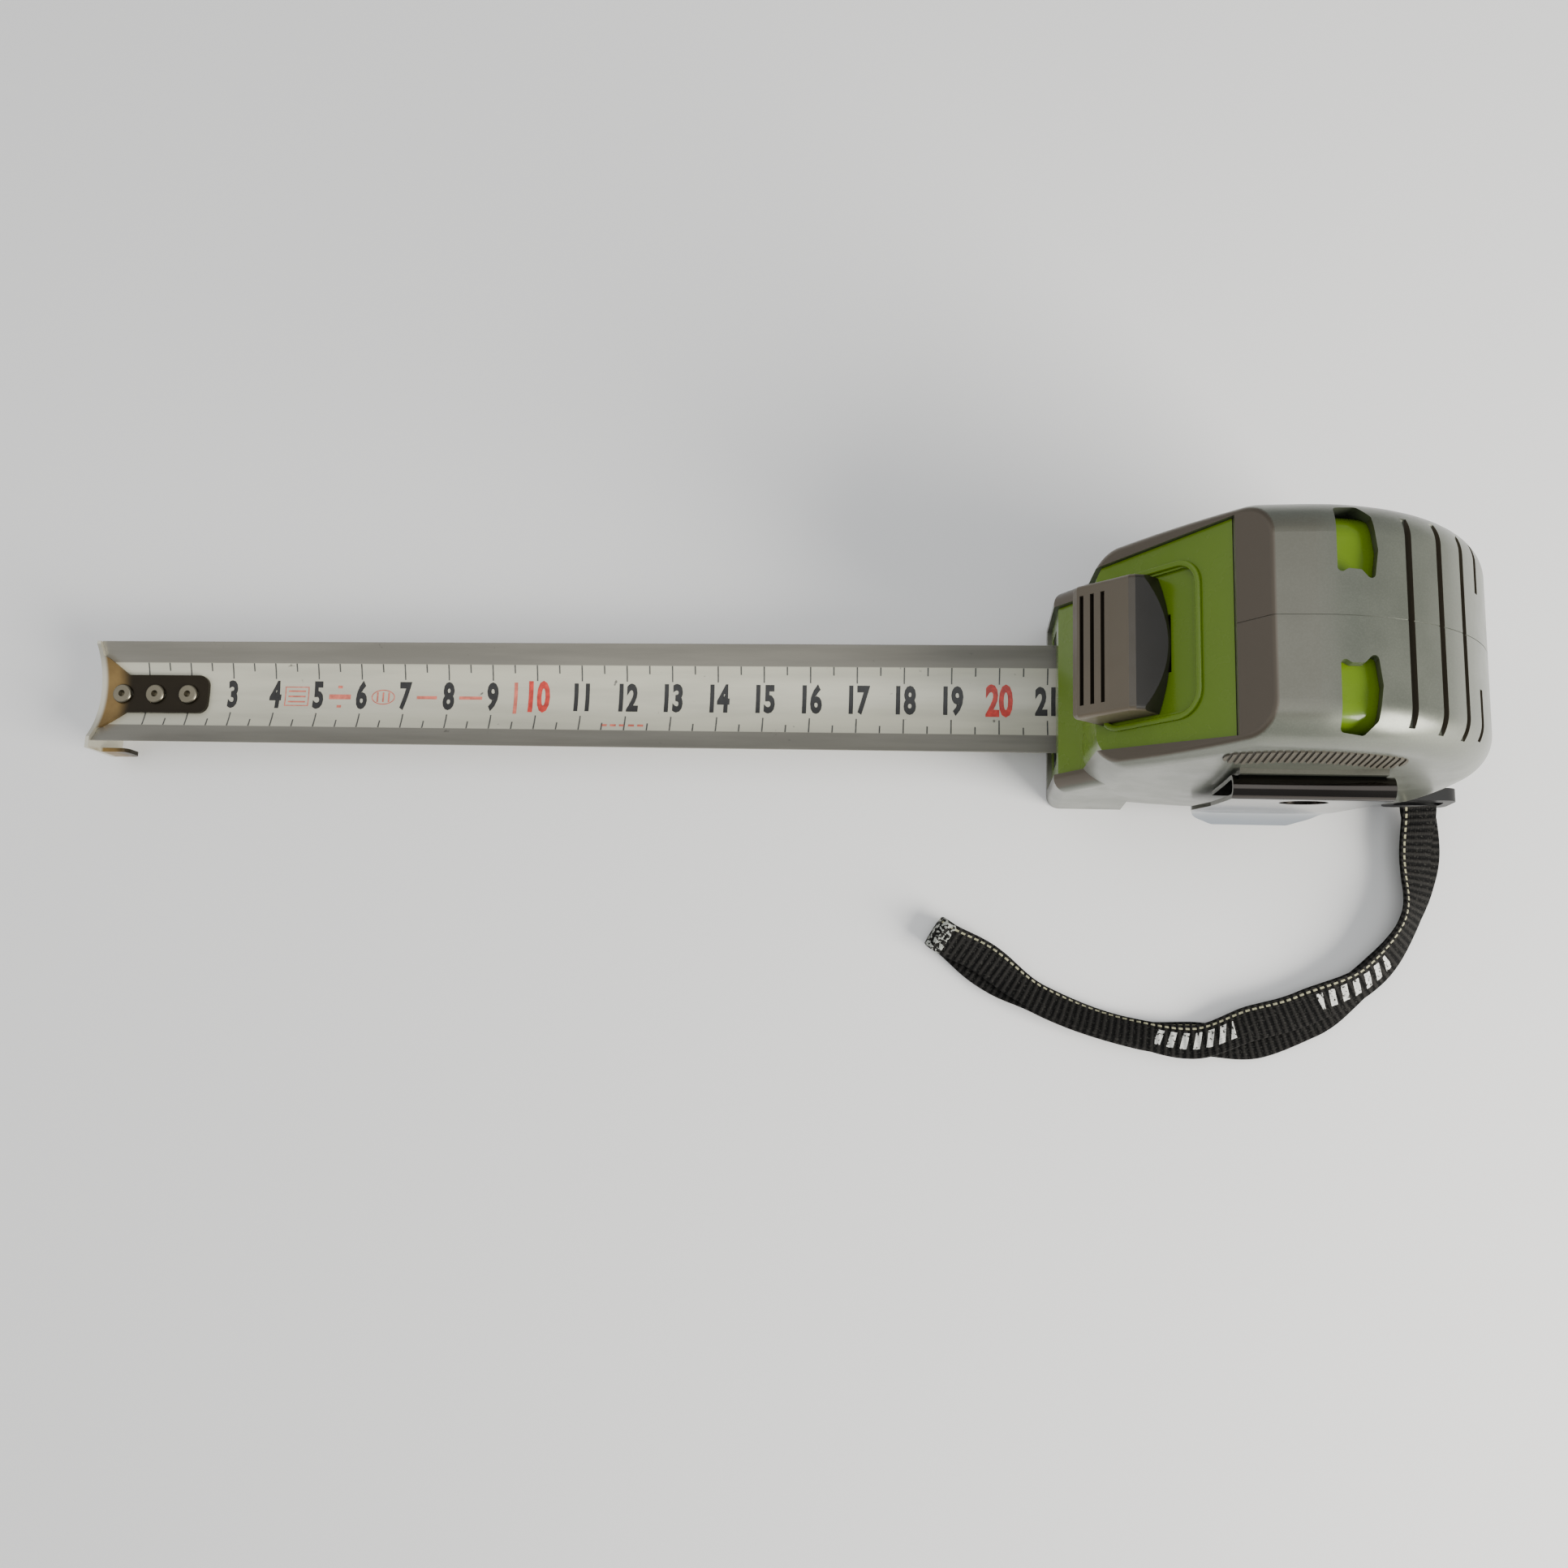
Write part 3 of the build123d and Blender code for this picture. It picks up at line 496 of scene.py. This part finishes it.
def webbing_finish(size, length):
    """Black ribbed webbing with a pale thread near one edge and two short rows of white slanted bars."""
    finish = Finish("black_webbing", Specular_IOR_Level=0.12)
    across, along, _ = finish.axes(finish.add("UVMap", uv_map="weave").outputs["UV"])
    turns = 2 * math.pi * size.strap_width / size.strap_rib
    ribs = finish.math("COSINE", finish.math("MULTIPLY", along, turns))
    yarn = finish.math("SINE", finish.math("MULTIPLY", across, 2 * math.pi * 14))
    fuzz = finish.noise(2500.0, 2.0)
    base = finish.mix(finish.ramp(ribs, -0.6, 1.0), (0.0015, 0.0015, 0.0015), (0.016, 0.015, 0.014))
    base = finish.mix(finish.ramp(fuzz, 0.5, 0.8), base, (0.03, 0.029, 0.026))
    stitch = finish.math("GREATER_THAN", finish.math("SINE", finish.math("MULTIPLY", along, 30.0)), -0.3)
    thread = finish.math("MULTIPLY", finish.near(across, 0.87, 0.03), stitch)
    base = finish.mix(thread, base, (0.30, 0.29, 0.19))
    lean = finish.math("ADD", along, finish.math("MULTIPLY", across, 0.3))
    bars = finish.math("LESS_THAN", finish.math("FRACT", finish.math("MULTIPLY", lean, 2.7)), 0.5)
    end = length / size.strap_width
    rows = [finish.near(along, end * middle, end * STRAP_MARK_LENGTH / 2) for middle in STRAP_MARKS]
    printed = finish.math("MULTIPLY", bars, finish.math("MAXIMUM", *rows))
    printed = finish.math("MULTIPLY", printed, finish.near(across, 0.5, 0.24))
    flecks = finish.noise(1500.0)
    worn = finish.math("MULTIPLY", printed, finish.ramp(flecks, 0.36, 0.46))
    base = finish.mix(worn, base, (0.60, 0.60, 0.57))
    # Paler flecks where the webbing folds back at its far end.
    pale_fold_flecks = finish.math("MULTIPLY", finish.near(along, end * STRAP_USED, 0.3), finish.ramp(flecks, 0.50, 0.56))
    base = finish.mix(pale_fold_flecks, base, (0.35, 0.36, 0.33))
    height = finish.math("ADD", finish.math("MULTIPLY", ribs, 0.5), finish.math("MULTIPLY", yarn, 0.25))
    return finish.to_shader(Base_Color=base, Roughness=0.8, Normal=finish.bump(height, 0.5, 0.12 * MM))


# ---------------------------------------------------------------- case
def cover_finish():
    """Satin silver lacquer that turns to dark taupe on the faces that look forwards: partly the lacquer's own taupe,
    partly painted shade.
    """
    tint = colours()
    finish = Finish("silver_lacquer", Metallic=0.55, Coat_Weight=0.4, Coat_Roughness=0.2)
    # Partly painted shade: faces that look forwards, away from the light, are mixed towards the taupe colour.
    forward_taupe_and_shade = finish.ramp(finish.facing(SLOPE_OUT), 0.55, 0.85)
    flake = finish.noise(3200.0, 1.0)
    cloud = finish.noise(25.0, 2.0)
    silver = finish.mix(cloud, shade(tint.silver, 0.93), shade(tint.silver, 1.06))
    silver = finish.mix(finish.ramp(flake, 0.3, 0.8), shade(tint.silver, 0.88), silver)
    base = finish.mix(forward_taupe_and_shade, silver, tint.taupe)
    rough = finish.ramp(finish.noise(140.0), 0.3, 0.7, 0.34, 0.44)
    normal = finish.bump(flake, 0.04, 0.02 * MM)
    return finish.to_shader(Base_Color=base, Roughness=rough, Normal=normal)


def green_finish():
    """Glossy lime green plastic whose tone varies slightly at random."""
    tint = colours()
    finish = Finish("lime_plastic", Coat_Weight=0.35, Coat_Roughness=0.12, Specular_IOR_Level=0.35)
    cloud = finish.noise(35.0, 2.0)
    base = finish.mix(cloud, shade(tint.green, 0.88), shade(tint.green, 1.1))
    rough = finish.ramp(finish.noise(220.0), 0.3, 0.7, 0.2, 0.3)
    normal = finish.bump(finish.noise(700.0), 0.03, 0.03 * MM)
    return finish.to_shader(Base_Color=base, Roughness=rough, Normal=normal)


class TAPE_OT_case(bpy.types.Operator):
    """Finish the covers, the green core, the grips and the badge"""

    bl_idname = "tape.case"
    bl_label = "Case"

    def execute(self, context):
        covers = cover_finish()
        core = green_finish()
        grip = moulded_plastic("grip_rubber", (0.07, 0.062, 0.045), 0.62, grain=1500.0, depth=0.05)
        badge = moulded_plastic("badge_plastic", (0.17, 0.15, 0.12), 0.4, coat=0.2)
        for side in ("left", "right"):
            paint(f"{side}_cover", covers)
            paint(f"{side}_core", core)
            paint(f"{side}_grip", grip)
        paint("side_badge", badge)
        return {"FINISHED"}


class TAPE_OT_lip(bpy.types.Operator):
    """Raise a rounded lip on the core round the lock's track, open at its foot"""

    bl_idname = "tape.lip"
    bl_label = "Lip round the lock"

    def execute(self, context):
        bpy.ops.object.select_all(action="DESELECT")
        length = LIP_TOP - LIP_FOOT
        bpy.ops.mesh.primitive_plane_add(size=1.0, location=(0, LIP_FOOT + length / 2, 0))
        lip = named("track_lip")
        lip.scale = (2 * LIP_HALF_WIDTH, length, 1.0)
        settle(lip)
        bpy.ops.object.mode_set(mode="EDIT")
        bpy.ops.mesh.select_all(action="SELECT")
        bpy.ops.mesh.bevel(offset=LIP_CORNER, segments=9, affect="VERTICES")
        bpy.ops.mesh.select_all(action="SELECT")
        bpy.ops.mesh.inset(thickness=sizes().lip_width)
        bpy.ops.mesh.delete(type="FACE")
        bpy.ops.mesh.select_all(action="SELECT")
        bpy.ops.mesh.bisect(plane_co=(0, LIP_FOOT + LIP_CUT, 0), plane_no=(0, 1, 0), clear_inner=True)
        bpy.ops.object.mode_set(mode="OBJECT")
        apply_modifier(lip, "SOLIDIFY", thickness=LIP_HEIGHT, offset=1.0)
        apply_modifier(lip, "BEVEL", width=LIP_EDGE, segments=3, limit_method="ANGLE")
        turn = Matrix(((0, -1, 0), SLOPE_UP, SLOPE_OUT)).transposed()
        lip.rotation_euler = turn.to_euler()
        lip.location = Vector(SLOPE_FOOT) + Vector(SLOPE_OUT) * LIP_SEAT
        settle(lip)
        bpy.ops.object.shade_smooth_by_angle(angle=math.radians(40))
        give(lip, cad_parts["left_core"].material_slots[0].material, "case")
        return {"FINISHED"}


def button_finish():
    """Warm grey plastic with a fine grain, and painted shade that makes the steep back nearly black."""
    tint = colours()
    finish = Finish("lock_plastic", Coat_Weight=0.15, Coat_Roughness=0.25)
    cloud = finish.noise(60.0, 2.0)
    base = finish.mix(cloud, shade(tint.button, 0.8), shade(tint.button, 1.25))
    # Painted shade: where the surface faces up the slope, on the steep back of the button, the colour goes nearly
    # black.
    base = finish.mix(finish.ramp(finish.facing(SLOPE_UP), 0.35, 0.75), base, shade(tint.button, 0.12))
    rough = finish.ramp(finish.noise(180.0), 0.3, 0.7, 0.36, 0.48)
    return finish.to_shader(Base_Color=base, Roughness=rough, Normal=finish.bump(finish.noise(900.0), 0.2, 0.05 * MM))


class TAPE_OT_lock(bpy.types.Operator):
    """Finish the thumb lock"""

    bl_idname = "tape.lock"
    bl_label = "Thumb lock"

    def execute(self, context):
        paint("lock_button", button_finish())
        paint("lock_tongue", moulded_plastic("tongue_plastic", (0.05, 0.05, 0.05), 0.5))
        paint("brake_pad", moulded_plastic("brake_rubber", (0.02, 0.02, 0.02), 0.8))
        return {"FINISHED"}


def clip_finish():
    """Polished plating, with a painted dark reflection over the bend and a lighter painted reflection on the flared
    tip.
    """
    finish = Finish("clip_plating", Metallic=1.0)
    height = finish.axes()[2]
    cloud = finish.noise(40.0)
    # Painted reflections: dark colours over the bend and lighter ones on the tip, blended by height.
    dark_reflection_bend = finish.mix(cloud, (0.035, 0.03, 0.027), (0.06, 0.055, 0.05))
    pale_reflection_tip = finish.mix(cloud, (0.26, 0.29, 0.33), (0.36, 0.39, 0.43))
    base = finish.mix(finish.ramp(height, 17 * MM, 26 * MM), pale_reflection_tip, dark_reflection_bend)
    return finish.to_shader(Base_Color=base, Roughness=finish.ramp(cloud, 0.3, 0.7, 0.1, 0.17))


class TAPE_OT_fittings(bpy.types.Operator):
    """Finish the belt clip, the lug, the screws and the works inside the case"""

    bl_idname = "tape.fittings"
    bl_label = "Fittings and works"

    def execute(self, context):
        steel = plain_metal("plated_steel", (0.46, 0.46, 0.45), 0.3)
        blued = plain_metal("blued_spring", (0.12, 0.13, 0.17), 0.32)
        black = moulded_plastic("black_plastic", (0.012, 0.012, 0.012), 0.45)
        grey = moulded_plastic("drum_plastic", (0.10, 0.10, 0.10), 0.5)
        acetal = moulded_plastic("post_acetal", (0.62, 0.60, 0.54), 0.4)
        rubber = moulded_plastic("mouth_rubber", (0.015, 0.015, 0.015), 0.75)
        paint("belt_clip", clip_finish())
        for node in ("clip_screw", "clip_nut", "case_screws", "post_screw"):
            paint(node, steel)
        for node in ("power_spring", "tail_link"):
            paint(node, blued)
        for node in ("drum", "drum_cap", "blade_guide"):
            paint(node, grey)
        paint("lanyard_lug", black)
        paint("centre_post", acetal)
        paint("mouth_bumper", rubber)
        return {"FINISHED"}


# ---------------------------------------------------------------- blade, its print and the hook
def blade_finish():
    """Cream enamel band with silvery edges and faint handling marks."""
    tint, size = colours(), sizes()
    finish = Finish("blade_enamel", Coat_Weight=0.3, Coat_Roughness=0.25)
    y = finish.axes()[1]
    reach = finish.math("ABSOLUTE", y)
    margin = finish.ramp(reach, size.band_half - 0.1 * MM, size.band_half + 0.15 * MM)
    smear = finish.add("Mapping", {"Vector": finish.coordinates(), "Scale": (30.0, 300.0, 300.0)})
    streaks = finish.noise(1.0, 4.0, vector=smear.outputs["Vector"])
    band = finish.mix(finish.ramp(streaks, 0.35, 0.75), shade(tint.enamel, 1.04), shade(tint.enamel, 0.88))
    edge = finish.mix(finish.ramp(streaks, 0.3, 0.7), tint.margin, shade(tint.margin, 0.8))
    base = finish.mix(margin, band, edge)
    specks = finish.ramp(finish.noise(420.0, 3.0), 0.70, 0.78)
    base = finish.mix(specks, base, shade(tint.margin, 0.5))
    rough = finish.ramp(streaks, 0.3, 0.7, 0.3, 0.42)
    metal = finish.ramp(margin, 0.0, 1.0, 0.05, 0.35)
    return finish.to_shader(Base_Color=base, Roughness=rough, Metallic=metal)


def ink_finish(name, base):
    """Printed ink, a little broken where the blade rubs."""
    finish = Finish(name)
    worn = finish.ramp(finish.noise(900.0, 3.0), 0.25, 0.8)
    return finish.to_shader(Base_Color=finish.mix(worn, shade(base, 0.8), shade(base, 1.5)), Roughness=0.45)


def print_on_blade(piece, finish):
    """Cuts a flat print into narrow strips, drops it on to the cupped blade and gives it ink's thickness."""
    only(piece)
    bpy.ops.object.mode_set(mode="EDIT")
    for k in range(1, PRINT_STRIPS):
        bpy.ops.mesh.select_all(action="SELECT")
        at = -PRINT_HALF + 2 * PRINT_HALF * k / PRINT_STRIPS
        bpy.ops.mesh.bisect(plane_co=(0, at, 0), plane_no=(0, 1, 0))
    bpy.ops.object.mode_set(mode="OBJECT")
    apply_modifier(
        piece, "SHRINKWRAP", target=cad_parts["blade"], wrap_method="PROJECT", use_project_z=True,
        use_negative_direction=True, use_positive_direction=False, offset=PRINT_LIFT,
    )
    apply_modifier(piece, "SOLIDIFY", thickness=PRINT_DEPTH, offset=-1.0)
    bpy.ops.object.shade_smooth_by_angle(angle=math.radians(60))
    give(piece, finish, "blade")


def scale_x(centimetres):
    return SCALE_ZERO + centimetres * 0.01


def flat_bar(x, y, length, width):
    """A flat rectangle, as seen from above."""
    bpy.ops.mesh.primitive_plane_add(size=1.0, location=(x, y, PRINT_ABOVE))
    bar = bpy.context.object
    bar.scale = (length, width, 1.0)
    return settle(bar)


class TAPE_OT_scale(bpy.types.Operator):
    """Finish the blade and print its centimetre and half-centimetre ticks"""

    bl_idname = "tape.scale"
    bl_label = "Blade and ticks"

    def execute(self, context):
        enamel = blade_finish()
        paint("blade", enamel)
        paint("blade_coil", enamel)
        size = sizes()
        ticks = []
        for half_centimetres in range(2, 2 * size.last_centimetre + 1):
            whole = half_centimetres % 2 == 0
            reach = size.tick_long if whole else size.tick_short
            for side in (-1, 1):
                y = side * (size.band_half - reach / 2)
                ticks.append(flat_bar(scale_x(half_centimetres / 2), y, TICK_WIDTH, reach))
        print_on_blade(join(ticks, "scale_ticks"), ink_finish("grey_ink", (0.07, 0.07, 0.065)))
        return {"FINISHED"}


def numeral(value):
    """One number, centred on its centimetre line."""
    size = sizes()
    bpy.ops.object.text_add(location=(0, 0, 0))
    text = bpy.context.object
    text.data.body = str(value)
    text.data.align_x = "CENTER"
    text.data.align_y = "CENTER"
    text.data.size = size.numeral_height / CAPITAL_SHARE
    text.data.offset = NUMERAL_WEIGHT * text.data.size
    text.data.resolution_u = 3
    only(text)
    bpy.ops.object.convert(target="MESH")
    text = bpy.context.object
    grown = RED_GROWTH if value in RED_CENTIMETRES else 1.0
    text.scale = (size.numeral_squeeze * grown, grown, 1.0)
    text.location = (scale_x(value), 0.0, PRINT_ABOVE)
    return settle(text)


class TAPE_OT_numerals(bpy.types.Operator):
    """Print the numerals, with every tenth in red"""

    bl_idname = "tape.numerals"
    bl_label = "Numerals"

    def execute(self, context):
        last = sizes().last_centimetre
        black = [numeral(value) for value in range(FIRST_NUMERAL, last + 1) if value not in RED_CENTIMETRES]
        print_on_blade(join(black, "numerals_black"), ink_finish("black_ink", (0.012, 0.012, 0.012)))
        red = [numeral(value) for value in RED_CENTIMETRES]
        print_on_blade(join(red, "numerals_red"), ink_finish("red_ink", (0.45, 0.03, 0.02)))
        return {"FINISHED"}


def frame_mark(x, length, width, line, corners):
    """A thin outlined box or oval."""
    bpy.ops.mesh.primitive_circle_add(vertices=corners, radius=0.5, fill_type="NGON", location=(0, 0, 0))
    mark = bpy.context.object
    if corners == 4:
        mark.rotation_euler.z = math.radians(45)
        settle(mark)
        mark.scale = (length * math.sqrt(2), width * math.sqrt(2), 1.0)
    else:
        mark.scale = (length, width, 1.0)
    settle(mark)
    bpy.ops.object.mode_set(mode="EDIT")
    bpy.ops.mesh.select_all(action="SELECT")
    bpy.ops.mesh.inset(thickness=line)
    bpy.ops.mesh.delete(type="FACE")
    bpy.ops.object.mode_set(mode="OBJECT")
    mark.location = (x, 0, PRINT_ABOVE)
    return settle(mark)


class TAPE_OT_marks(bpy.types.Operator):
    """Print the small red marks between the first numerals, as plain shapes"""

    bl_idname = "tape.marks"
    bl_label = "Small red marks"

    def execute(self, context):
        marks = [
            frame_mark(scale_x(4.5), 5.6 * MM, 4.4 * MM, MARK_LINE, 4),
            frame_mark(scale_x(6.5), 5.4 * MM, 3.4 * MM, MARK_LINE, 32),
        ]
        # Each bar is its centimetre, then how far across the blade, its length and its width, in mm.
        bars = [(4.5, k * 1.2, 4.0, 0.35) for k in (-1, 0, 1)]
        bars += [(5.5, 0.0, 5.0, 1.1), (5.5, 2.2, 1.0, 0.6), (5.5, -2.2, 1.0, 0.6)]
        bars += [(6.5 + k * 0.13, 0.0, 0.35, 2.2) for k in (-1, 0, 1)]
        bars += [(7.5, 0.0, 4.6, 0.7), (8.5, 0.0, 5.2, 0.7), (9.52, 0.0, 0.8, 7.0)]
        bars += [(11.55 + k * 0.2, -6.0, 1.3, 0.5) for k in range(5)]
        for centimetres, y, length, width in bars:
            marks.append(flat_bar(scale_x(centimetres), y * MM, length * MM, width * MM))
        print_on_blade(join(marks, "red_marks"), ink_finish("faded_red_ink", (0.52, 0.13, 0.09)))
        return {"FINISHED"}


def hook_finish():
    """Bronzed steel, golden on the shoulders and worn silvery on the plate in front."""
    tint = colours()
    finish = Finish("bronzed_steel", Metallic=0.75)
    x = finish.axes()[0]
    worn = finish.ramp(x, SCALE_ZERO - 0.2 * MM, SCALE_ZERO + 0.9 * MM)
    golden = finish.ramp(x, SCALE_ZERO + 2.5 * MM, SCALE_ZERO + 6.5 * MM)
    patch = finish.noise(350.0, 3.0)
    shoulder = finish.mix(patch, (0.30, 0.20, 0.075), (0.18, 0.115, 0.045))
    tongue = finish.mix(patch, shade(tint.hook, 0.8), shade(tint.hook, 1.3))
    base = finish.mix(golden, shoulder, tongue)
    base = finish.mix(worn, (0.62, 0.60, 0.50), base)
    rough = finish.ramp(patch, 0.3, 0.7, 0.3, 0.42)
    return finish.to_shader(Base_Color=base, Roughness=rough)


class TAPE_OT_hook(bpy.types.Operator):
    """Finish the end hook and its rivets"""

    bl_idname = "tape.hook"
    bl_label = "End hook"

    def execute(self, context):
        paint("end_hook", hook_finish())
        paint("hook_rivets", plain_metal("rivet_steel", (0.22, 0.20, 0.15), 0.3, (200.0, 200.0, 200.0)))
        return {"FINISHED"}


# ---------------------------------------------------------------- studio
class TAPE_OT_stage(bpy.types.Operator):
    """Add the pale floor and the soft studio lights"""

    bl_idname = "tape.stage"
    bl_label = "Floor and lights"

    def execute(self, context):
        bpy.ops.object.select_all(action="DESELECT")
        bpy.ops.mesh.primitive_plane_add(size=FLOOR_SIDE, location=(0, 0, -FLOOR_DROP))
        floor = named("floor")
        settle(floor)
        finish = Finish("pale_floor", Roughness=0.9)
        finish.to_shader(Base_Color=finish.mix(finish.noise(3.0), (0.86, 0.86, 0.86), (0.88, 0.88, 0.88)))
        floor.data.materials.append(finish.material)
        # Each light is its name, place, side, watts and tint.
        lights = (
            ("key", (0.50, -0.32, 0.32), 0.4, 10.0, (1.0, 0.97, 0.90)),
            ("fill", (-0.7, 0.1, 0.55), 0.9, 1.6, (1.0, 0.98, 0.95)),
            ("top", (0.0, 0.0, 0.9), 0.7, 3.0, (0.97, 0.99, 1.0)),
        )
        for name, place, size, power, tint in lights:
            bpy.ops.object.light_add(type="AREA", location=place)
            light = named(name)
            light.data.size = size
            light.data.energy = power
            light.data.color = tint
            light.rotation_euler = (Vector((0, 0, 0.03)) - Vector(place)).to_track_quat("-Z", "Y").to_euler()
        world = context.scene.world or bpy.data.worlds.new("studio")
        context.scene.world = world
        world.use_nodes = True
        background = world.node_tree.nodes["Background"]
        background.inputs["Color"].default_value = (0.9, 0.92, 0.95, 1.0)
        background.inputs["Strength"].default_value = 0.45
        return {"FINISHED"}


class TAPE_PT_panel(bpy.types.Panel):
    """The tape measure's pieces in the order that they are made"""

    bl_idname = "TAPE_PT_panel"
    bl_label = "Tape measure"
    bl_space_type = "VIEW_3D"
    bl_region_type = "UI"
    bl_category = "Tape"

    def draw(self, context):
        for operator in OPERATORS:
            self.layout.operator(operator.bl_idname)
        for group in (sizes(), colours()):
            for name in group.bl_rna.properties.keys():
                if name not in ("rna_type", "name"):
                    self.layout.prop(group, name)


OPERATORS = (
    TAPE_OT_camera,
    TAPE_OT_strap,
    TAPE_OT_case,
    TAPE_OT_lip,
    TAPE_OT_lock,
    TAPE_OT_fittings,
    TAPE_OT_scale,
    TAPE_OT_numerals,
    TAPE_OT_marks,
    TAPE_OT_hook,
    TAPE_OT_stage,
)
CLASSES = (TapeSizes, TapeColours, *OPERATORS, TAPE_PT_panel)


def register():
    for each in CLASSES:
        bpy.utils.register_class(each)
    bpy.types.Scene.tape_sizes = PointerProperty(type=TapeSizes)
    bpy.types.Scene.tape_colours = PointerProperty(type=TapeColours)


def unregister():
    del bpy.types.Scene.tape_colours
    del bpy.types.Scene.tape_sizes
    for each in reversed(CLASSES):
        bpy.utils.unregister_class(each)


def main():
    register()
    for operator in OPERATORS:
        group, name = operator.bl_idname.split(".")
        getattr(getattr(bpy.ops, group), name)()


if __name__ == "__main__":
    main()
